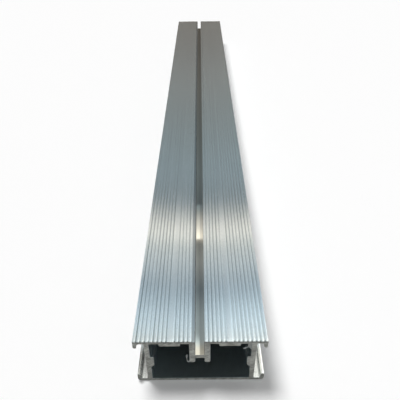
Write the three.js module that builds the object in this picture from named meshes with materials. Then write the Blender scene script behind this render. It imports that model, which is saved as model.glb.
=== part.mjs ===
// Hollow aluminium extrusion with a ridged deck, as used for the joists under decking boards.
// One piece of sawn stock, in millimetres, +Z up. The length runs along Y, and the origin is
// the middle of the underside.
//
// The section, seen along the length:
//
//     deck: ridges, one wide land over each screw pad, a screw channel in the middle
//     |""""""""[pad]"""""_ |"""""[pad]""""""""|     lip turned down at each edge
//        |               |_|               |
//        |[boss]        foot foot    [boss]|        web, with a boss on its inner side
//     |  |                                 |  |     lip turned up at each edge
//     |_______________________________________|     flat base
//
// Both halves are alike, except that the channel and the pads lie a little left of the middle,
// and that the slot has a low ledge on its left where its right has a ridge.

import * as THREE from 'three';

// ---------------------------------------------------------------- overall size

const LENGTH = 450;
const WIDTH = 50;
const HEIGHT = 25;

// ---------------------------------------------------------------- walls

const DECK_THICKNESS = 1.4;   // from a ridge's crest to the underside of the deck
const BASE_THICKNESS = 1.25;
const WEB_THICKNESS = 1.85;
const WEB_SPACING = 39.95;    // between the middles of the two webs

// ---------------------------------------------------------------- ridged deck

const RIDGE_PITCH = 1.58;
const RIDGE_CROWN = 0.06;     // how far a crest stands above the ridge's edges
const CREST_ROUND = 3;
const FIRST_CREST = 2.29;     // from the middle of the section
const LAST_CREST = 0.5;       // least distance from a crest to the deck's edge
const GROOVE_WIDTH = 0.7;     // across the mouth
const GROOVE_FLOOR = 0.25;    // across the bottom
const GROOVE_DEPTH = 0.28;    // below the crests
const GROOVE_ROUND = 0.2;

// ---------------------------------------------------------------- screw pads under the deck

const PAD_OFFSET = 11.15;     // from the middle of the slot to the middle of a pad
const PAD_WIDTH = 7.9;        // where it joins the deck
const PAD_DEPTH = 1.35;
const PAD_TAPER = 0.08;       // drawn in at each side, towards the pad's face
const PAD_ROUND = 0.3;
const LAND_WIDTH = 1.5;       // kept free of grooves over the middle of each pad

// ---------------------------------------------------------------- screw channel

const SLOT_OFFSET = -0.2;     // from the middle of the section to the middle of the slot
const SLOT_WIDTH = 3.6;
const SLOT_DEPTH = 8.2;       // below the crests, at the floor's sides
const SLOT_FLOOR_DIP = 0.08;  // how much deeper the middle of the floor is
const SLOT_DIP_ROUND = 5;
const SLOT_FLOOR_ROUND = 0.15; // where the floor meets the sides
const SLOT_MOUTH_ROUND = 0.2;
const CHANNEL_WALL = 2.15;
const CHANNEL_FLOOR = 2;
const FOOT_LENGTH = 2.75;     // below the channel's floor
const FOOT_ROUND = 0.8;

// ---------------------------------------------------------------- bosses inside the webs

const BOSS_DEPTH = 1.3;       // proud of the web
const BOSS_TOP = 15.6;        // above the underside of the base
const BOSS_HEIGHT = 5.2;      // of its upright face
const BOSS_BEVEL = 1.4;       // height of the slope under it
const BOSS_ROUND = 0.4;

// ---------------------------------------------------------------- lips beside the webs

const DECK_LIP_LENGTH = 3.9;  // from the crests to the tip
const DECK_LIP_TIP = 1.3;     // thickness at the tip
const DECK_LIP_ROOT = 1.6;    // thickness at the deck
const DECK_LIP_ROUND = 0.55;
const DECK_LIP_FILLET = 1.1;
const DECK_EDGE_ROUND = 0.3;
const BASE_LIP_HEIGHT = 4.1;  // from the underside to the tip
const BASE_LIP_THICKNESS = 1.35;
const BASE_LIP_ROUND = 0.5;
const BASE_LIP_FILLET = 0.5;
const BASE_CORNER_ROUND = 1.2;

// ---------------------------------------------------------------- corners and curves

const WALL_FILLET = 0.4;      // where two walls meet
const FLAT_ERROR = 0.01;      // how far a flat on a rounded corner may lie from the true arc
const SAME_POINT = 1e-4;      // points of an outline closer than this are one point

// ---------------------------------------------------------------- finish

const ALUMINIUM = { color: 0xb4b6b4, roughness: 0.42, metalness: 1 };

// A corner of an outline: its place in the section, and the radius that rounds it.
const corner = (x, z, radius = 0) => ({ point: new THREE.Vector2(x, z), radius });

// The corners of one half of an outline, mirrored into the other half and put in its order.
function mirrored(half) {
  return half.map(({ point, radius }) => corner(-point.x, point.y, radius)).reverse();
}

// The flats that keep a turn of the given angle and radius within FLAT_ERROR of its arc.
function flatsFor(angle, radius) {
  const flatAngle = 2 * Math.acos(1 - Math.min(FLAT_ERROR / radius, 1));
  return Math.ceil(angle / flatAngle);
}

// The points of one corner: the sharp point itself, or those of the arc that rounds it. An arc
// takes at most half of the shorter side beside it, so two arcs never run into each other.
function cornerPoints({ point, radius }, previous, next) {
  const toPrevious = previous.clone().sub(point);
  const toNext = next.clone().sub(point);
  const halfSide = Math.min(toPrevious.length(), toNext.length()) / 2;
  toPrevious.normalize();
  toNext.normalize();
  const halfAngle = Math.acos(toPrevious.dot(toNext)) / 2;
  const trim = Math.min(radius / Math.tan(halfAngle), halfSide);
  if (trim < SAME_POINT) return [point];
  const fitted = trim * Math.tan(halfAngle);
  const inward = toPrevious.clone().add(toNext).normalize();
  const centre = inward.multiplyScalar(fitted / Math.sin(halfAngle)).add(point);
  const start = toPrevious.clone().multiplyScalar(trim).add(point).sub(centre).angle();
  const end = toNext.clone().multiplyScalar(trim).add(point).sub(centre).angle();
  const clockwise = toPrevious.cross(toNext) > 0;
  const arc = new THREE.ArcCurve(centre.x, centre.y, fitted, start, end, clockwise);
  return arc.getPoints(flatsFor(Math.PI - 2 * halfAngle, fitted));
}

// The closed outline through the corners, as points.
function outline(corners) {
  const count = corners.length;
  const points = corners.flatMap((each, index) => cornerPoints(
    each,
    corners[(index + count - 1) % count].point,
    corners[(index + 1) % count].point,
  ));
  return points.filter((point, index) => point.distanceTo(points.at(index - 1)) > SAME_POINT);
}

// The four corners of a groove between two ridges, from its outer edge to its inner edge.
function grooveCorners(middle) {
  const edge = HEIGHT - RIDGE_CROWN;
  const bottom = HEIGHT - GROOVE_DEPTH;
  return [
    corner(middle + GROOVE_WIDTH / 2, edge, GROOVE_ROUND),
    corner(middle + GROOVE_FLOOR / 2, bottom, GROOVE_ROUND),
    corner(middle - GROOVE_FLOOR / 2, bottom, GROOVE_ROUND),
    corner(middle - GROOVE_WIDTH / 2, edge, GROOVE_ROUND),
  ];
}

// The ridges in the right half of the deck, with the grooves between them, from the deck's
// edge inwards. Two crests with no groove between them make the land.
function ridgeCorners() {
  const lastCrest = WIDTH / 2 - LAST_CREST;
  const corners = [];
  for (let crest = FIRST_CREST; crest <= lastCrest; crest += RIDGE_PITCH) {
    corners.unshift(corner(crest, HEIGHT, CREST_ROUND));
    const groove = crest + RIDGE_PITCH / 2;
    const isLast = crest + RIDGE_PITCH > lastCrest;
    const onLand = Math.abs(groove - PAD_OFFSET) < LAND_WIDTH / 2;
    if (!isLast && !onLand) corners.unshift(...grooveCorners(groove));
  }
  return corners;
}

// The ridges without the one along the slot: the first groove runs on to the slot as a ledge.
function ridgeCornersToLedge() {
  return ridgeCorners().slice(0, -3);
}

// The right half of the outside, from the base's corner to the edge of the ridged deck.
function sideCorners() {
  const side = WIDTH / 2;
  const web = (WEB_SPACING + WEB_THICKNESS) / 2;
  const baseLip = side - BASE_LIP_THICKNESS;
  const deckUnderside = HEIGHT - DECK_THICKNESS;
  const deckLipTip = HEIGHT - DECK_LIP_LENGTH;
  return [
    corner(side, 0, BASE_CORNER_ROUND),
    corner(side, BASE_LIP_HEIGHT, BASE_LIP_ROUND),
    corner(baseLip, BASE_LIP_HEIGHT, BASE_LIP_ROUND),
    corner(baseLip, BASE_THICKNESS, BASE_LIP_FILLET),
    corner(web, BASE_THICKNESS, WALL_FILLET),
    corner(web, deckUnderside, WALL_FILLET),
    corner(side - DECK_LIP_ROOT, deckUnderside, DECK_LIP_FILLET),
    corner(side - DECK_LIP_TIP, deckLipTip, DECK_LIP_ROUND),
    corner(side, deckLipTip, DECK_LIP_ROUND),
    corner(side, HEIGHT - RIDGE_CROWN, DECK_EDGE_ROUND),
  ];
}

// The slot, down its right side and up its left side to the ledge.
function slotCorners() {
  const right = SLOT_OFFSET + SLOT_WIDTH / 2;
  const left = SLOT_OFFSET - SLOT_WIDTH / 2;
  const floor = HEIGHT - SLOT_DEPTH;
  return [
    corner(right, HEIGHT - RIDGE_CROWN, SLOT_MOUTH_ROUND),
    corner(right, floor, SLOT_FLOOR_ROUND),
    corner(SLOT_OFFSET, floor - SLOT_FLOOR_DIP, SLOT_DIP_ROUND),
    corner(left, floor, SLOT_FLOOR_ROUND),
    corner(left, HEIGHT - GROOVE_DEPTH, SLOT_MOUTH_ROUND),
  ];
}

// The outside of the section: base, side grooves between the lips, ridged deck and slot.
function outsideCorners() {
  return [
    ...sideCorners(),
    ...ridgeCorners(),
    ...slotCorners(),
    ...mirrored(ridgeCornersToLedge()),
    ...mirrored(sideCorners()),
  ];
}

// The right half of the chamber inside, between the web and the screw pad. The middle of the
// pad is given, because the pads lie a little left of the webs' middle.
function chamberSideCorners(padMiddle) {
  const web = (WEB_SPACING - WEB_THICKNESS) / 2;
  const boss = web - BOSS_DEPTH;
  const bossFoot = BOSS_TOP - BOSS_HEIGHT;
  const deckUnderside = HEIGHT - DECK_THICKNESS;
  const padFace = deckUnderside - PAD_DEPTH;
  const padOuter = padMiddle + PAD_WIDTH / 2;
  const padInner = padMiddle - PAD_WIDTH / 2;
  return [
    corner(web, BASE_THICKNESS, WALL_FILLET),
    corner(web, bossFoot - BOSS_BEVEL, BOSS_ROUND),
    corner(boss, bossFoot, BOSS_ROUND),
    corner(boss, BOSS_TOP, BOSS_ROUND),
    corner(web, BOSS_TOP, BOSS_ROUND),
    corner(web, deckUnderside, WALL_FILLET),
    corner(padOuter, deckUnderside, PAD_ROUND),
    corner(padOuter - PAD_TAPER, padFace, PAD_ROUND),
    corner(padInner + PAD_TAPER, padFace, PAD_ROUND),
    corner(padInner, deckUnderside, PAD_ROUND),
  ];
}

// The outside of the channel and its two feet, from right to left.
function channelCorners() {
  const deckUnderside = HEIGHT - DECK_THICKNESS;
  const channelUnderside = HEIGHT - SLOT_DEPTH - CHANNEL_FLOOR;
  const footTip = channelUnderside - FOOT_LENGTH;
  const outer = SLOT_WIDTH / 2 + CHANNEL_WALL;
  const inner = SLOT_WIDTH / 2;
  return [
    corner(SLOT_OFFSET + outer, deckUnderside, WALL_FILLET),
    corner(SLOT_OFFSET + outer, footTip, FOOT_ROUND),
    corner(SLOT_OFFSET + inner, footTip, FOOT_ROUND),
    corner(SLOT_OFFSET + inner, channelUnderside, WALL_FILLET),
    corner(SLOT_OFFSET - inner, channelUnderside, WALL_FILLET),
    corner(SLOT_OFFSET - inner, footTip, FOOT_ROUND),
    corner(SLOT_OFFSET - outer, footTip, FOOT_ROUND),
    corner(SLOT_OFFSET - outer, deckUnderside, WALL_FILLET),
  ];
}

// The chamber inside: between the webs, under the deck and round the channel and its feet.
function chamberCorners() {
  return [
    ...chamberSideCorners(PAD_OFFSET + SLOT_OFFSET),
    ...channelCorners(),
    ...mirrored(chamberSideCorners(PAD_OFFSET - SLOT_OFFSET)),
  ];
}

// The section pushed out to the stock's length, lying on its base.
function extrudedProfile() {
  const section = new THREE.Shape(outline(outsideCorners()));
  section.holes.push(new THREE.Path(outline(chamberCorners())));
  const geometry = new THREE.ExtrudeGeometry(section, { depth: LENGTH, bevelEnabled: false });
  const mesh = new THREE.Mesh(geometry, new THREE.MeshStandardMaterial(ALUMINIUM));
  mesh.name = 'extruded_profile';
  mesh.rotation.x = Math.PI / 2;
  mesh.position.y = LENGTH / 2;
  return mesh;
}

const stock = new THREE.Group();
stock.name = 'aluminium_extrusion';
stock.add(extrudedProfile());

export default stock;
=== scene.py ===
"""Looks for a length of ridged aluminium extrusion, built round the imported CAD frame."""

import math

import bmesh
import bpy
from mathutils import Matrix, Vector
from mathutils.geometry import tessellate_polygon


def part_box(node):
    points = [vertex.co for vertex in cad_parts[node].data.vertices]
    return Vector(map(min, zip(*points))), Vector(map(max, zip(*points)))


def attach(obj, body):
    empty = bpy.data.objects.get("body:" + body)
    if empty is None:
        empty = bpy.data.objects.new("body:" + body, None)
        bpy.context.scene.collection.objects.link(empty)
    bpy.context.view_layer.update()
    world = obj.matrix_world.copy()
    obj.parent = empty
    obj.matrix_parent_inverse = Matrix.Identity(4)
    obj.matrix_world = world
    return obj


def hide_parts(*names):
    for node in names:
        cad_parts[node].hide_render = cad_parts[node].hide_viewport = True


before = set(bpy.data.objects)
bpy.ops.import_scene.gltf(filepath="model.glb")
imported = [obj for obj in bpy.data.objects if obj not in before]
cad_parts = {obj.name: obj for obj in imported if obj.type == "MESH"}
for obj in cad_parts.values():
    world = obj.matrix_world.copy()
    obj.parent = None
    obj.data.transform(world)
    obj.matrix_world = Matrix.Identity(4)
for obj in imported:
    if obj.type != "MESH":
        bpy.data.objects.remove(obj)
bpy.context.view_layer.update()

MM = 0.001
WHITE = (1, 1, 1, 1)
NODE = "extruded_profile"
NEAR, FAR = (corner.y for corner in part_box(NODE))
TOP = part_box(NODE)[1].z
UNROLLED = "along"        # the UV map of the surface as unrolled
GLOW = "glow"             # the vertex colours of the stage cards


def placed(name, data):
    """A new object in the scene, made of this data."""
    made = bpy.data.objects.new(name, data)
    bpy.context.scene.collection.objects.link(made)
    return made


def finished_mesh(name, bm):
    """What was built in bm, as a mesh."""
    mesh = bpy.data.meshes.new(name)
    bm.to_mesh(mesh)
    bm.free()
    return mesh


# ---------------------------------------------------------------- camera

CAMERA_BEFORE_END = 93.55 * MM      # in front of the near end
CAMERA_ABOVE_DECK = 133.76 * MM
CAMERA_ASIDE = 1.16 * MM
CAMERA_PITCH = math.radians(36.61)  # downwards
CAMERA_YAW = math.radians(-0.33)
CAMERA_ROLL = math.radians(-0.75)
PHOTO_WIDTH = 400                   # pixels
FOCAL_LENGTH = 425.5                # in the photo's pixels
SENSOR = 36.0                       # its width in millimetres, as Blender counts it
CLIP_START = 5 * MM


def make_camera():
    data = bpy.data.cameras.new("camera")
    data.sensor_width = SENSOR
    data.lens = SENSOR * FOCAL_LENGTH / PHOTO_WIDTH
    data.clip_start = CLIP_START
    camera = placed("camera", data)
    flat = math.cos(CAMERA_PITCH)
    ahead = Vector((
        math.sin(CAMERA_YAW) * flat,
        math.cos(CAMERA_YAW) * flat,
        -math.sin(CAMERA_PITCH),
    ))
    level = Vector((math.cos(CAMERA_YAW), -math.sin(CAMERA_YAW), 0))
    above = level.cross(ahead)
    right = math.cos(CAMERA_ROLL) * level + math.sin(CAMERA_ROLL) * above
    up = right.cross(ahead)
    turn = Matrix((right, up, -ahead)).transposed().to_4x4()
    place = Vector((CAMERA_ASIDE, NEAR - CAMERA_BEFORE_END, TOP + CAMERA_ABOVE_DECK))
    camera.matrix_world = Matrix.Translation(place) @ turn
    bpy.context.scene.camera = camera


# ---------------------------------------------------------------- shape

WELD = 0.001 * MM         # vertices nearer than this are one
CAP_FACING = -0.9         # a normal with less Y than this belongs to the near end's face
EDGE_BREAK = 0.06 * MM    # the sawn edges are dulled by this much
LEAST_COSINE = 0.5        # keeps a sharp corner from moving far as its edges move in
STATIONS = 24             # lengths of surface from end to end, besides the broken edges
DECK_SKIN = 0.6 * MM      # everything within this of the crests is the ridged deck
SLOT_REACH = 3 * MM       # the slot lies within this of the middle
LEDGE_SKIN = 0.2 * MM     # the slot's ledge lies deeper than this below the crests
WALL_STEEPNESS = 3        # the slot's walls rise more than this for each step across
DRAWN, SAWN, RIDGED, CHAMBER, SLOT_FLOOR, SLOT_WALL, LEDGE = range(7)


def end_loops(mesh):
    """The closed outlines of the near end, outer first, as lists of (x, z)."""
    bm = bmesh.new()
    bm.from_mesh(mesh)
    bmesh.ops.remove_doubles(bm, verts=bm.verts, dist=WELD)
    ahead = {}
    for edge in bm.edges:
        caps = [face for face in edge.link_faces if face.normal.y < CAP_FACING]
        if len(caps) == 1 and len(edge.link_faces) == 2:
            corner = next(corner for corner in caps[0].loops if corner.edge == edge)
            ahead[corner.vert] = corner.link_loop_next.vert
    loops = []
    while ahead:
        first, current = next(iter(ahead.items()))
        loop = [first]
        del ahead[first]
        while current is not first:
            loop.append(current)
            current = ahead.pop(current)
        loops.append([(vert.co.x, vert.co.z) for vert in loop])
    bm.free()
    loops.sort(key=lambda loop: min(x for x, _ in loop))
    return loops


def surface(first, second, inside):
    """The finish of the strip of surface between two corners (x, z) of an outline."""
    middle = (first + second) / 2
    if inside:
        return CHAMBER
    if middle.y > TOP - DECK_SKIN:
        on_ledge = abs(middle.x) < SLOT_REACH and middle.y < TOP - LEDGE_SKIN
        return LEDGE if on_ledge else RIDGED
    if abs(middle.x) > SLOT_REACH or middle.y < TOP / 2:
        return DRAWN
    across, up = second - first
    return SLOT_WALL if abs(up) > WALL_STEEPNESS * abs(across) else SLOT_FLOOR


def inset(loop, distance):
    """The loop moved into the metal, which lies on its left seen from the near end."""
    points = [Vector(point) for point in loop]
    moved = []
    for index, point in enumerate(points):
        before = (point - points[index - 1]).normalized()
        after = (points[(index + 1) % len(points)] - point).normalized()
        along = (before + after).normalized()
        cosine = max(along.dot(after), LEAST_COSINE)
        moved.append(point + Vector((-along.y, along.x)) * (distance / cosine))
    return [tuple(point) for point in moved]


def sweep(bm, unrolled, loop, places, inside):
    """The surface that the loop leaves along Y. Returns its vertices, a ring at each place."""
    broken = inset(loop, EDGE_BREAK)
    rings = []
    for y in places:
        shape = broken if y in (NEAR, FAR) else loop
        rings.append([bm.verts.new((x, y, z)) for x, z in shape])
    lengths = [0.0]
    for index, point in enumerate(loop):
        after = loop[(index + 1) % len(loop)]
        lengths.append(lengths[-1] + (Vector(after) - Vector(point)).length)
    for station in range(len(places) - 1):
        nearer, further = rings[station], rings[station + 1]
        for index in range(len(loop)):
            after = (index + 1) % len(loop)
            verts = (nearer[index], further[index], further[after], nearer[after])
            face = bm.faces.new(verts)
            face.smooth = True
            face.material_index = surface(Vector(loop[index]), Vector(loop[after]), inside)
            corners = (
                (index, station),
                (index, station + 1),
                (index + 1, station + 1),
                (index + 1, station),
            )
            for corner, (around, ring) in zip(face.loops, corners):
                corner[unrolled].uv = (lengths[around], places[ring])
    return rings


def fill_end(bm, unrolled, rings):
    """The sawn face between the outer ring of one end and the ring of the chamber."""
    verts = [vert for ring in rings for vert in ring]
    flat = [[(vert.co.x, vert.co.z, 0) for vert in ring] for ring in rings]
    for triangle in tessellate_polygon(flat):
        face = bm.faces.new([verts[index] for index in triangle])
        face.material_index = SAWN
        for corner in face.loops:
            corner[unrolled].uv = (corner.vert.co.x, corner.vert.co.z)


def profile_mesh(loops):
    """The whole length as one closed mesh: the loops swept along Y, and both ends filled."""
    bm = bmesh.new()
    unrolled = bm.loops.layers.uv.new(UNROLLED)
    places = [NEAR, NEAR + EDGE_BREAK]
    places += [NEAR + (FAR - NEAR) * step / STATIONS for step in range(1, STATIONS)]
    places += [FAR - EDGE_BREAK, FAR]
    swept = [sweep(bm, unrolled, loop, places, order > 0) for order, loop in enumerate(loops)]
    for end in (0, -1):
        fill_end(bm, unrolled, [rings[end] for rings in swept])
    bmesh.ops.recalc_face_normals(bm, faces=bm.faces)
    return finished_mesh("ridged_profile", bm)


# ---------------------------------------------------------------- materials

# Where painted shade, dirt or a rub changes over a pair of places, it starts at the first and is
# complete at the second.
ALUMINIUM = (0.82, 0.825, 0.82, 1)
# The grooves darken with their depth: painted shade in the recesses, with patches of dirt.
GROOVE_SHADE_AND_DIRT = (0.37, 0.39, 0.39, 1)
GROOVE_DEPTH = 0.28 * MM
GROOVE_SHADE_SHARE = (0.25, 1.1)             # the least and the most of it that a groove has
RIGHT_NEAR_SHADE_SHARE = 0.45                    # the share of it that is left on the right near the end
RIGHT_NEAR_ACROSS = (2 * MM, 12 * MM)
RIGHT_NEAR_ALONG = (NEAR + 45 * MM, NEAR + 10 * MM)
FURTHER_SHADE_SHARE = 0.3                   # the share of it that is left further along
FURTHER_ALONG = (NEAR + 64 * MM, NEAR + 110 * MM)
CREST_RUB_AND_HIGHLIGHT = (0.95, 0.96, 0.96, 1)     # the crests' last stretch, rubbed by the saw, with a painted highlight
CREST_RUB_AND_HIGHLIGHT_LENGTH = 2 * MM
NOTCH_SHADE_AND_DIRT = (0.2, 0.21, 0.2, 1)     # the grooves' last stretch: dirt and the painted shade of burrs
NOTCH_LENGTH = 0.7 * MM
DIE_LINES = (0.58, 0.59, 0.59, 1)     # duller lines that the die left along webs and underside
DIE_LINES_SHARE = (0, 0.9)
WEB_ACROSS = (21.4 * MM, 21.1 * MM)   # those lie nearer to the middle than this
CORNER_SHADE = (0.4, 0.41, 0.41, 1)   # painted shade: a dark line along the foot of each base lip
CORNER_ACROSS = (22.9 * MM, 23.2 * MM)
CORNER_FLOOR = (0.5 * MM, 1 * MM)
CORNER_TOP = (2.2 * MM, 1.7 * MM)
CORNER_LEFT = 0.2                     # the share of it on the left lip
LEDGE_SHADE = (0.42, 0.435, 0.44, 1)  # painted shade in the slot, darker on its ledge and walls
SLOT_WALL_SHADE = (0.5, 0.48, 0.46, 1)
SLOT_FILM = (0.77, 0.745, 0.68, 1)    # a thin yellowish film on its floor
INNER_FILM = (0.71, 0.78, 0.79, 1)    # the dull film left inside the hollow
INNER_METALLIC = 0.91
DRAWN_ANISOTROPY = 1.0                # the die's fine lines spread a highlight across them
SAWN_LIGHT = (0.92, 0.935, 0.87, 1)
SAWN_DARK = (0.51, 0.52, 0.475, 1)
SAWN_EDGE_GRIME = (0.36, 0.37, 0.35, 1)
SAWN_EDGE_SHARE = (0.1, 1.2)          # the least and the most of it
SAWN_EDGE = 1.3 * MM                  # how far below the crests the sawn edge is ragged
SAW_MIDDLE = (70 * MM, 0, -105 * MM)  # the blade's axis when it left its last marks
SAW_PITCH = 0.35 * MM
SAW_DETAIL = 2
BURR_ALUMINIUM = (0.6, 0.62, 0.6, 1)

# How rough each surface is, where it is smoothest and where it is roughest.
SIDE_ROUGHNESS = (0.1, 0.16)
DECK_ROUGHNESS = (0.2, 0.27)
INNER_ROUGHNESS = (0.4, 0.55)
SLOT_FLOOR_ROUGHNESS = (0.04, 0.07)
SLOT_WALL_ROUGHNESS = (0.3, 0.4)
SAWN_ROUGHNESS = (0.36, 0.44)
BURR_ROUGHNESS = (0.4, 0.6)
HANDLED_ROUGHNESS = (-0.01, 0.01)     # what handling marks add to it

# Noises in the unrolled surface: features per metre across it and along it, and detail.
STREAKS = (700, 0.8, 3)
FINE_STREAKS = (3500, 0.8, 3)
HANDLING_MARKS = (40, 25, 2)
# patches of the grooves' painted shade and dirt
GROOVE_SHADE_PATCHES = (420, 5, 3)

# Noises in space: features per metre, and detail.
MOTTLE = (450, 4)
RAGGED = (1500, 2)
TORN = (1500, 3)

NOISE_SPAN = (0.3, 0.7)               # most of a noise lies between these
MOTTLE_SPAN = (0.84, 1.16)            # where the sum of two noises turns from light to dark

# Bumps: how strong, and how deep.
STREAK_BUMP = (0.15, 0.01 * MM)
SAW_BUMP = (0.3, 0.02 * MM)
BURR_BUMP = (0.5, 0.05 * MM)


def material(name):
    """A new material, its node tree and its shader."""
    made = bpy.data.materials.new(name)
    made.use_nodes = True
    return made, made.node_tree, made.node_tree.nodes["Principled BSDF"]


def computed(tree, operation, first, second=None):
    """A calculation on one node's output, or on that and another output or a number."""
    made = tree.nodes.new("ShaderNodeMath")
    made.operation = operation
    tree.links.new(first, made.inputs[0])
    if isinstance(second, float):
        made.inputs[1].default_value = second
    elif second is not None:
        tree.links.new(second, made.inputs[1])
    return made


def plus(tree, first, second):
    return computed(tree, "ADD", first, second).outputs[0]


def times(tree, first, second):
    """The product, kept between 0 and 1."""
    made = computed(tree, "MULTIPLY", first, second)
    made.use_clamp = True
    return made.outputs[0]


def without_sign(tree, value):
    return computed(tree, "ABSOLUTE", value).outputs[0]


def remapped(tree, value, start, end, low, high):
    """A node that turns the values from start to end into those from low to high."""
    made = tree.nodes.new("ShaderNodeMapRange")
    made.inputs["From Min"].default_value = start
    made.inputs["From Max"].default_value = end
    made.inputs["To Min"].default_value = low
    made.inputs["To Max"].default_value = high
    tree.links.new(value, made.inputs["Value"])
    return made


def spread(tree, noise, low, high):
    """The noise, stretched so that NOISE_SPAN becomes low to high, and cut off outside it."""
    return remapped(tree, noise, *NOISE_SPAN, low, high).outputs["Result"]


def ramp(tree, value, start, end, low=0.0, high=1.0):
    """An eased step from low, where the value is at start, to high, where it is at end."""
    made = remapped(tree, value, start, end, low, high)
    made.interpolation_type = "SMOOTHSTEP"
    return made.outputs["Result"]


def mixed(tree, share, first, second):
    """One colour turning into another; either is a colour or another node's output."""
    made = tree.nodes.new("ShaderNodeMix")
    made.data_type = "RGBA"
    tree.links.new(share, made.inputs["Factor"])
    for socket, colour in (("A", first), ("B", second)):
        if isinstance(colour, tuple):
            made.inputs[socket].default_value = colour
        else:
            tree.links.new(colour, made.inputs[socket])
    return made.outputs["Result"]


def noise_at(tree, place, scale, detail):
    noise = tree.nodes.new("ShaderNodeTexNoise")
    noise.inputs["Scale"].default_value = scale
    noise.inputs["Detail"].default_value = detail
    tree.links.new(place, noise.inputs["Vector"])
    return noise.outputs["Fac"]


def surface_noise(tree, across, lengthwise, detail):
    """Noise in the profile's own unrolled surface, in features per metre across and along it."""
    uv = tree.nodes.new("ShaderNodeUVMap")
    uv.uv_map = UNROLLED
    scaled = tree.nodes.new("ShaderNodeMapping")
    scaled.inputs["Scale"].default_value = (across, lengthwise, 1)
    tree.links.new(uv.outputs["UV"], scaled.inputs["Vector"])
    return noise_at(tree, scaled.outputs["Vector"], 1, detail)


def place_on_part(tree):
    """The place on the profile, as a vector and as its X, Y and Z."""
    place = tree.nodes.new("ShaderNodeTexCoord").outputs["Object"]
    split = tree.nodes.new("ShaderNodeSeparateXYZ")
    tree.links.new(place, split.inputs["Vector"])
    return place, split.outputs


def add_bump(tree, shader, height, strength, depth):
    bump = tree.nodes.new("ShaderNodeBump")
    bump.inputs["Strength"].default_value = strength
    bump.inputs["Distance"].default_value = depth
    tree.links.new(height, bump.inputs["Height"])
    tree.links.new(bump.outputs["Normal"], shader.inputs["Normal"])


def deck_colour(tree, clean):
    """Painted shade and dirt in grooves, deeper at both ends, where crests get rub and painted
    highlight.
    """
    _, (x, y, z) = place_on_part(tree)
    depth = ramp(tree, z, TOP, TOP - GROOVE_DEPTH)
    from_middle = without_sign(tree, y)
    crest_rub_and_highlight = ramp(tree, from_middle, FAR - CREST_RUB_AND_HIGHLIGHT_LENGTH, FAR)
    notched_ends = ramp(tree, from_middle, FAR - NOTCH_LENGTH, FAR - NOTCH_LENGTH / 2)
    groove_shade = spread(tree, surface_noise(tree, *GROOVE_SHADE_PATCHES), *GROOVE_SHADE_SHARE)
    right_near = times(tree, ramp(tree, x, *RIGHT_NEAR_ACROSS), ramp(tree, y, *RIGHT_NEAR_ALONG))
    groove_shade = times(tree, groove_shade, ramp(tree, right_near, 0, 1, 1, RIGHT_NEAR_SHADE_SHARE))
    groove_shade = times(tree, groove_shade, ramp(tree, y, *FURTHER_ALONG, 1, FURTHER_SHADE_SHARE))
    crest = mixed(tree, crest_rub_and_highlight, clean, CREST_RUB_AND_HIGHLIGHT)
    shaded_grooves = mixed(tree, times(tree, depth, groove_shade), crest, GROOVE_SHADE_AND_DIRT)
    return mixed(tree, times(tree, depth, notched_ends), shaded_grooves, NOTCH_SHADE_AND_DIRT)


def side_colour(tree, clean):
    """Clean metal with the die's duller lines, and painted shade where each lip stands on the
    base.
    """
    _, (x, _, z) = place_on_part(tree)
    across = without_sign(tree, x)
    lines = spread(tree, surface_noise(tree, *STREAKS), *DIE_LINES_SHARE)
    lines = times(tree, lines, ramp(tree, across, *WEB_ACROSS))
    lined = mixed(tree, lines, clean, DIE_LINES)
    low = times(tree, ramp(tree, z, *CORNER_FLOOR), ramp(tree, z, *CORNER_TOP))
    corner_shade = times(tree, ramp(tree, across, *CORNER_ACROSS), low)
    corner_shade = times(tree, corner_shade, ramp(tree, x, -MM, MM, CORNER_LEFT, 1))
    return mixed(tree, corner_shade, lined, CORNER_SHADE)


def drawn_aluminium(name, roughness, colour=ALUMINIUM, coloured=None, metallic=1.0):
    """Aluminium pressed through a die: fine straight lines along it, and faint handling marks."""
    made, tree, shader = material(name)
    shader.inputs["Base Color"].default_value = colour
    shader.inputs["Metallic"].default_value = metallic
    shader.inputs["Anisotropic"].default_value = DRAWN_ANISOTROPY
    tangent = tree.nodes.new("ShaderNodeTangent")
    tangent.direction_type = "UV_MAP"
    tangent.uv_map = UNROLLED
    tree.links.new(tangent.outputs["Tangent"], shader.inputs["Tangent"])
    streaks = spread(tree, surface_noise(tree, *STREAKS), *roughness)
    marks = spread(tree, surface_noise(tree, *HANDLING_MARKS), *HANDLED_ROUGHNESS)
    tree.links.new(plus(tree, streaks, marks), shader.inputs["Roughness"])
    add_bump(tree, shader, surface_noise(tree, *FINE_STREAKS), *STREAK_BUMP)
    if coloured:
        tree.links.new(coloured(tree, colour), shader.inputs["Base Color"])
    return made


def saw_marks(tree, place):
    """The height of the fine arcs that the blade's teeth leave, round the blade's axis."""
    flat = tree.nodes.new("ShaderNodeVectorMath")
    flat.operation = "MULTIPLY"
    flat.inputs[1].default_value = (1, 0, 1)
    tree.links.new(place, flat.inputs[0])
    radius = tree.nodes.new("ShaderNodeVectorMath")
    radius.operation = "DISTANCE"
    radius.inputs[1].default_value = SAW_MIDDLE
    tree.links.new(flat.outputs["Vector"], radius.inputs[0])
    arcs = tree.nodes.new("ShaderNodeTexNoise")
    arcs.noise_dimensions = "1D"
    arcs.inputs["Scale"].default_value = 1 / SAW_PITCH
    arcs.inputs["Detail"].default_value = SAW_DETAIL
    tree.links.new(radius.outputs["Value"], arcs.inputs["W"])
    return arcs.outputs["Fac"]


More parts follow.
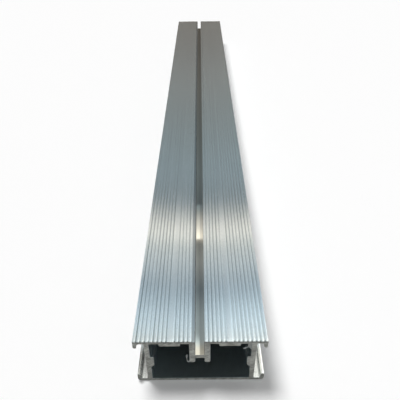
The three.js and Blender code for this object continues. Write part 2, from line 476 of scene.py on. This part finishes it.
def sawn_aluminium():
    """A cut left by a saw: arcs of tooth marks, mottled grey, ragged along the ridged edge."""
    made, tree, shader = material("sawn_aluminium")
    shader.inputs["Metallic"].default_value = 1
    place, (_, _, z) = place_on_part(tree)
    marks = saw_marks(tree, place)
    mottle = plus(tree, marks, noise_at(tree, place, *MOTTLE))
    colour = mixed(tree, ramp(tree, mottle, *MOTTLE_SPAN), SAWN_LIGHT, SAWN_DARK)
    edge = ramp(tree, z, TOP - SAWN_EDGE, TOP - SAWN_EDGE / 2)
    ragged = spread(tree, noise_at(tree, place, *RAGGED), *SAWN_EDGE_SHARE)
    colour = mixed(tree, times(tree, edge, ragged), colour, SAWN_EDGE_GRIME)
    tree.links.new(colour, shader.inputs["Base Color"])
    tree.links.new(spread(tree, mottle, *SAWN_ROUGHNESS), shader.inputs["Roughness"])
    add_bump(tree, shader, marks, *SAW_BUMP)
    return made


def burr_aluminium():
    """Torn metal, rougher than the cut."""
    made, tree, shader = material("burr_aluminium")
    shader.inputs["Base Color"].default_value = BURR_ALUMINIUM
    shader.inputs["Metallic"].default_value = 1
    place, _ = place_on_part(tree)
    torn = noise_at(tree, place, *TORN)
    tree.links.new(spread(tree, torn, *BURR_ROUGHNESS), shader.inputs["Roughness"])
    add_bump(tree, shader, torn, *BURR_BUMP)
    return made


# ---------------------------------------------------------------- profile

FLATS_WEIGHT = 100        # the most it takes: at a corner the largest face counts most


def make_profile():
    mesh = profile_mesh(end_loops(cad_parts[NODE].data))
    piece = placed("ridged_profile", mesh)
    # in the order of DRAWN, SAWN, RIDGED, CHAMBER, SLOT_FLOOR, SLOT_WALL and LEDGE
    finishes = (
        drawn_aluminium("drawn_aluminium", SIDE_ROUGHNESS, coloured=side_colour),
        sawn_aluminium(),
        drawn_aluminium("ridged_aluminium", DECK_ROUGHNESS, coloured=deck_colour),
        drawn_aluminium("inner_aluminium", INNER_ROUGHNESS, INNER_FILM, metallic=INNER_METALLIC),
        drawn_aluminium("slot_floor_aluminium", SLOT_FLOOR_ROUGHNESS, SLOT_FILM),
        drawn_aluminium("slot_wall_aluminium", SLOT_WALL_ROUGHNESS, SLOT_WALL_SHADE),
        drawn_aluminium("ledge_aluminium", DECK_ROUGHNESS, LEDGE_SHADE),
    )
    for finish in finishes:
        mesh.materials.append(finish)
    flats = piece.modifiers.new("flat_faces", "WEIGHTED_NORMAL")
    flats.mode = "FACE_AREA"
    flats.weight = FLATS_WEIGHT
    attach(piece, "root")
    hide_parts(NODE)


# ---------------------------------------------------------------- burrs

# The saw left three slivers on the near end. Each is bent out of the metal along a line of
# (x, how far below the crests, width) in millimetres, which starts inside the metal.
BURRS = (
    ((-3.5, 12.0, 1.0), (-4.2, 12.7, 1.1), (-4.75, 12.7, 0.75), (-5.05, 11.9, 0.45),
     (-5.15, 11.0, 0.35), (-5.2, 10.2, 0.5), (-5.15, 9.2, 0.75), (-5.05, 8.3, 0.3)),
    ((19.4, 1.2, 1.2), (18.6, 1.6, 1.6), (18.3, 2.7, 1.5), (18.7, 3.9, 1.1), (19.1, 5.3, 0.5)),
    ((18.2, 3.0, 0.9), (17.6, 3.7, 0.5), (17.1, 4.1, 0.5), (16.5, 4.5, 1.0), (15.9, 4.8, 0.4)),
)
BURR_THICKNESS = 0.5 * MM
BURR_SUNK = 0.05 * MM     # how far behind the sawn face the slivers stay
BURR_STEPS = 4            # rings from one point of a line to the next
BURR_SIDES = 10


def smooth_line(points):
    """A Catmull-Rom curve through the points, with BURR_STEPS steps from each to the next."""
    padded = [points[0], *points, points[-1]]
    line = []
    for before, start, end, after in zip(padded, padded[1:], padded[2:], padded[3:]):
        for step in range(BURR_STEPS):
            t = step / BURR_STEPS
            line.append(0.5 * (
                2 * start + (end - before) * t
                + (2 * before - 5 * start + 4 * end - after) * t ** 2
                + (3 * start - before - 3 * end + after) * t ** 3
            ))
    return line + [points[-1]]


def add_burr(bm, points):
    """One closed sliver: rings round a smooth line, and a tip at each end of it."""
    marks = [Vector((x * MM, TOP - below * MM, width * MM)) for x, below, width in points]
    line = smooth_line(marks)
    middle_y = NEAR + BURR_SUNK + BURR_THICKNESS / 2
    rings = []
    for index in range(1, len(line) - 1):
        x, z, width = line[index]
        way = (line[index + 1] - line[index - 1]).xy.normalized()
        ring = []
        for side in range(BURR_SIDES):
            turn = math.tau * side / BURR_SIDES
            aside = way.orthogonal() * math.cos(turn) * width / 2
            depth = math.sin(turn) * BURR_THICKNESS / 2
            ring.append(bm.verts.new((x + aside.x, middle_y + depth, z + aside.y)))
        rings.append(ring)
    for nearer, further in zip(rings, rings[1:]):
        for side in range(BURR_SIDES):
            after = (side + 1) % BURR_SIDES
            bm.faces.new((nearer[side], nearer[after], further[after], further[side]))
    for end, ring in ((line[0], rings[0]), (line[-1], rings[-1])):
        tip = bm.verts.new((end.x, middle_y, end.y))
        for side in range(BURR_SIDES):
            bm.faces.new((ring[side], ring[(side + 1) % BURR_SIDES], tip))


def make_burrs():
    bm = bmesh.new()
    for points in BURRS:
        add_burr(bm, points)
    bmesh.ops.recalc_face_normals(bm, faces=bm.faces)
    for face in bm.faces:
        face.smooth = True
    burrs = placed("saw_burrs", finished_mesh("saw_burrs", bm))
    burrs.data.materials.append(burr_aluminium())
    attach(burrs, "root")


# ---------------------------------------------------------------- stage

FLOOR_SIZE = 6.0
FLOOR_GAP = 0.2 * MM
FLOOR_COLOUR = (0.93, 0.93, 0.93, 1)
FLOOR_GLOW = 0.08         # what a camera ray sees on top of the lit floor


def make_floor():
    bm = bmesh.new()
    half = FLOOR_SIZE / 2
    corners = ((-half, -half), (half, -half), (half, half), (-half, half))
    bm.faces.new([bm.verts.new((x, y, -FLOOR_GAP)) for x, y in corners])
    floor = placed("floor", finished_mesh("floor", bm))
    made, tree, shader = material("floor")
    shader.inputs["Base Color"].default_value = FLOOR_COLOUR
    shader.inputs["Roughness"].default_value = 1
    shader.inputs["Specular IOR Level"].default_value = 0
    shader.inputs["Emission Color"].default_value = WHITE
    path = tree.nodes.new("ShaderNodeLightPath")
    glow = computed(tree, "MULTIPLY", path.outputs["Is Camera Ray"], FLOOR_GLOW)
    tree.links.new(glow.outputs[0], shader.inputs["Emission Strength"])
    floor.data.materials.append(made)


KEY_FROM = Vector((-0.56, 0.72, 2.3))   # the lamp is this way from the part
KEY_STRENGTH = 2.35
KEY_ANGLE = math.radians(20)            # how large it looks, which softens the shadows
FILL = 0.27                             # how strongly the world lights what isn't a mirror


def make_key():
    data = bpy.data.lights.new("key", "SUN")
    data.energy = KEY_STRENGTH
    data.angle = KEY_ANGLE
    key = placed("key", data)
    key.matrix_world = KEY_FROM.to_track_quat("Z", "Y").to_matrix().to_4x4()
    key.visible_glossy = False  # the metal mirrors the surround instead


def make_world():
    """A white world, at full strength to the camera and in mirrors, and dimmer as a light."""
    world = bpy.data.worlds.new("studio")
    bpy.context.scene.world = world
    world.use_nodes = True
    tree = world.node_tree
    fill = tree.nodes["Background"]
    backdrop = tree.nodes.new("ShaderNodeBackground")
    for background, strength in ((fill, FILL), (backdrop, 1)):
        background.inputs["Strength"].default_value = strength
        background.inputs["Color"].default_value = WHITE
    path = tree.nodes.new("ShaderNodeLightPath")
    seen = path.outputs["Is Camera Ray"]
    for kind in ("Is Glossy Ray", "Is Transmission Ray"):
        seen = computed(tree, "MAXIMUM", seen, path.outputs[kind]).outputs[0]
    mix = tree.nodes.new("ShaderNodeMixShader")
    tree.links.new(seen, mix.inputs["Fac"])
    tree.links.new(fill.outputs[0], mix.inputs[1])
    tree.links.new(backdrop.outputs[0], mix.inputs[2])
    tree.links.new(mix.outputs[0], tree.nodes["World Output"].inputs["Surface"])


# The surround is a tent that only reflections see: it is what the metal mirrors. Its tones run
# with the angle from the profile's axis, counted from the far end, because a straight profile
# mirrors one such angle all the way across at each place along it. They were set in rounds, by
# comparing the deck's bands of tone in a render with those in the photo.
# Angles are in degrees, and those round the axis are counted from straight up, positive to the
# right. A pair of angles is where a change starts and where it is complete.
SURROUND_RADIUS = 5.0
SURROUND = (
    # angle from the axis, colour on the right, and how much of it the left side has
    (0, (0.31, 0.27, 0.22), 0.95),
    (14, (0.27, 0.26, 0.24), 0.95),
    (20, (0.34, 0.36, 0.35), 0.9),
    (26, (0.315, 0.373, 0.383), 0.88),
    (32, (0.36, 0.455, 0.495), 0.82),
    (36.8, (0.26, 0.33, 0.37), 0.94),
    # the bright strip, lightest where it ends
    (37.6, (0.36, 0.40, 0.41), 1.14),
    (39.6, (0.86, 0.85, 0.80), 1.2),
    (41.1, (1.49, 1.45, 1.31), 1.16),
    # what the deck mirrors from there to its near end
    (41.9, (0.59, 0.65, 0.64), 1.16),
    (44.4, (0.77, 0.86, 0.89), 1.06),
    (48.2, (0.43, 0.56, 0.66), 0.8),
    (52, (0.93, 1.17, 1.31), 0.75),
    (55.2, (1.07, 1.30, 1.41), 0.77),
    # what the slot's floor and the grooves along the sides mirror at the near end
    (56.2, (1.48, 1.46, 1.31), 0.29),
    (57.6, (1.50, 1.48, 1.35), 0.26),
    (58.2, (1.55, 1.55, 1.43), 0.24),
    (59, (1.65, 1.67, 1.57), 0.5),
    (60, (1.8, 1.83, 1.72), 0.95),
    (61.5, (1.7, 1.7, 1.6), 0.95),
    # overhead, and on to the camera's side
    (75, (1.05, 1.10, 1.08), 0.55),
    (110, (0.76, 0.84, 0.88), 0.8),
    (180, (0.43, 0.46, 0.48), 1),
)
LEFT_FROM = (-20, 20)         # round the axis: where the left side turns into the right

# A dark card hangs in the middle, seen in the slot. Its end is cut at a slant, further from
# the axis on the left.
MIDDLE_TURN = -1              # round the axis
MIDDLE_HALF_WIDTH = (5, 11)
MIDDLE_REACH = (54.5, 57)     # from the axis: where it ends
MIDDLE_SLANT = 0.15
MIDDLE_TINT_BEFORE = (0.38, 0.37, 0.37)   # up to the end of the bright strip
MIDDLE_TINT_BEYOND = (0.30, 0.29, 0.29)   # and beyond it

# The bright strip shines through that card, but for a part left of the middle.
STRIP = (36.6, 41.3)          # from the axis: where the strip starts and ends
STRIP_SHADED = 0.6            # how much of that part the card covers
STRIP_TURN = -8               # round the axis
STRIP_HALF_WIDTH = (3, 7)

# Past the end of the dark card a lighter one hangs left of the middle.
SIDE_TINT = (0.70, 0.70, 0.70)
SIDE_TURN = -9                # round the axis
SIDE_HALF_WIDTH = (5, 11)

# The right side is a little lighter. Up to TURNING from the axis it is dark far round, and
# beyond that the left side is dark.
RIGHT_GLOW = 0.12             # how much lighter
RIGHT_GLOW_FROM = (20, 40)    # round the axis
TURNING = (55.5, 56.5)
RIGHT_SHADE = 0.35            # what is left of the tone in the dark
RIGHT_SHADE_FROM = (50, 80)   # round the axis
LEFT_SHADE = 0.35
LEFT_SHADE_FROM = (14, 35)    # round the axis, to the left

# The tent has rows of vertices at angles from the axis, and columns at angles round it.
ROW_STEP = 4                  # degrees from row to row
FINE_ROWS = (36, 62)          # between these angles they are closer
FINE_ROW_STEP = 0.5
STRIP_EDGE = 0.01             # and rows lie this close to the edges of the bright strip
COLUMN_STEP = 2
COLUMN_END = 100              # how far round the axis the columns go, on both sides


def eased(value, start, end):
    share = min(max((value - start) / (end - start), 0), 1)
    return share * share * (3 - 2 * share)


def near_turn(turn, middle, half_width):
    """1 near the middle angle, easing to 0 as the distance from it goes through the pair."""
    return 1 - eased(abs(turn - middle), *half_width)


def tinted(colour, share, tint):
    """The colour where a card of this tint covers a share of it."""
    return Vector(tone * (1 - share + share * part) for tone, part in zip(colour, tint))


def surround_colour(tilt, turn):
    """The tent's colour at an angle from the axis and an angle round it."""
    for (start, before, left_before), (end, after, left_after) in zip(SURROUND, SURROUND[1:]):
        if tilt <= end:
            break
    share = (tilt - start) / (end - start)
    colour = Vector(before).lerp(Vector(after), share)
    left = left_before + (left_after - left_before) * share
    colour *= left + (1 - left) * eased(turn, *LEFT_FROM)
    past_middle = eased(tilt + MIDDLE_SLANT * turn, *MIDDLE_REACH)
    shaded = (1 - past_middle) * near_turn(turn, MIDDLE_TURN, MIDDLE_HALF_WIDTH)
    if STRIP[0] < tilt < STRIP[1]:
        shaded = STRIP_SHADED * near_turn(turn, STRIP_TURN, STRIP_HALF_WIDTH)
    tint = MIDDLE_TINT_BEYOND if tilt > STRIP[1] else MIDDLE_TINT_BEFORE
    colour = tinted(colour, shaded, tint)
    shaded = past_middle * near_turn(turn, SIDE_TURN, SIDE_HALF_WIDTH)
    colour = tinted(colour, shaded, SIDE_TINT)
    colour *= 1 + RIGHT_GLOW * eased(turn, *RIGHT_GLOW_FROM)
    beyond = eased(tilt, *TURNING)
    colour *= 1 - (1 - beyond) * (1 - RIGHT_SHADE) * eased(turn, *RIGHT_SHADE_FROM)
    return colour * (1 - beyond * (1 - LEFT_SHADE) * eased(-turn, *LEFT_SHADE_FROM))


def surround_tilts():
    """The angles from the axis at which the tent has a row of vertices."""
    furthest = SURROUND[-1][0]
    tilts = set(range(ROW_STEP, furthest, ROW_STEP))
    first, last = FINE_ROWS
    fine_rows = round((last - first) / FINE_ROW_STEP)
    tilts.update(first + row * FINE_ROW_STEP for row in range(fine_rows))
    tilts.update((STRIP[0] + STRIP_EDGE, STRIP[1] - STRIP_EDGE, STRIP[1] + STRIP_EDGE))
    return sorted(tilts)


def direction(tilt, turn):
    """The way that leads off at an angle from the axis and an angle round it."""
    tilt = math.radians(tilt)
    turn = math.radians(turn)
    out = math.sin(tilt)
    return Vector((out * math.sin(turn), math.cos(tilt), out * math.cos(turn)))


def make_card(name, rows):
    """A stage card that only reflections see, from rows of places with a glowing colour each."""
    bm = bmesh.new()
    glow = bm.verts.layers.float_color.new(GLOW)
    grid = []
    for row in rows:
        grid.append([bm.verts.new(place) for place, _ in row])
        for vert, (_, colour) in zip(grid[-1], row):
            vert[glow] = (*colour, 1)
    for lower, upper in zip(grid, grid[1:]):
        for column in range(len(lower) - 1):
            bm.faces.new((lower[column], lower[column + 1], upper[column + 1], upper[column]))
    card = placed(name, finished_mesh(name, bm))
    card.visible_camera = False
    card.visible_diffuse = False
    card.visible_shadow = False
    card.visible_transmission = False
    card.visible_volume_scatter = False
    made, tree, shader = material(name)
    tree.nodes.remove(shader)
    emission = tree.nodes.new("ShaderNodeEmission")
    colour = tree.nodes.new("ShaderNodeVertexColor")
    colour.layer_name = GLOW
    output = tree.nodes["Material Output"]
    tree.links.new(colour.outputs["Color"], emission.inputs["Color"])
    tree.links.new(emission.outputs["Emission"], output.inputs["Surface"])
    card.data.materials.append(made)


def make_surround():
    centre = Vector((0, NEAR, TOP))
    turns = range(-COLUMN_END, COLUMN_END + 1, COLUMN_STEP)
    rows = []
    for tilt in surround_tilts():
        places = [centre + SURROUND_RADIUS * direction(tilt, turn) for turn in turns]
        colours = [surround_colour(tilt, turn) for turn in turns]
        rows.append(list(zip(places, colours)))
    make_card("surround", rows)


# A grey card on the floor before the near end keeps the sawn face from mirroring the white floor.
# It is painted shade that only reflections see, darkest at the end like a painted shadow.
FRONT_CARD_HALF_WIDTH = 200 * MM
FRONT_CARD = (
    # how far before the near end, grey
    (400 * MM, 0.30),
    (15 * MM, 0.30),
    (3 * MM, 0.22),
    (0.2 * MM, 0.10),
)


def make_front_card():
    rows = []
    for distance, grey in FRONT_CARD:
        edges = (-FRONT_CARD_HALF_WIDTH, FRONT_CARD_HALF_WIDTH)
        places = [(x, NEAR - distance, -FLOOR_GAP / 2) for x in edges]
        rows.append([(place, (grey, grey, grey)) for place in places])
    make_card("front_card", rows)


bpy.context.scene.view_settings.view_transform = "Standard"
make_camera()
make_profile()
make_burrs()
make_floor()
make_key()
make_world()
make_surround()
make_front_card()
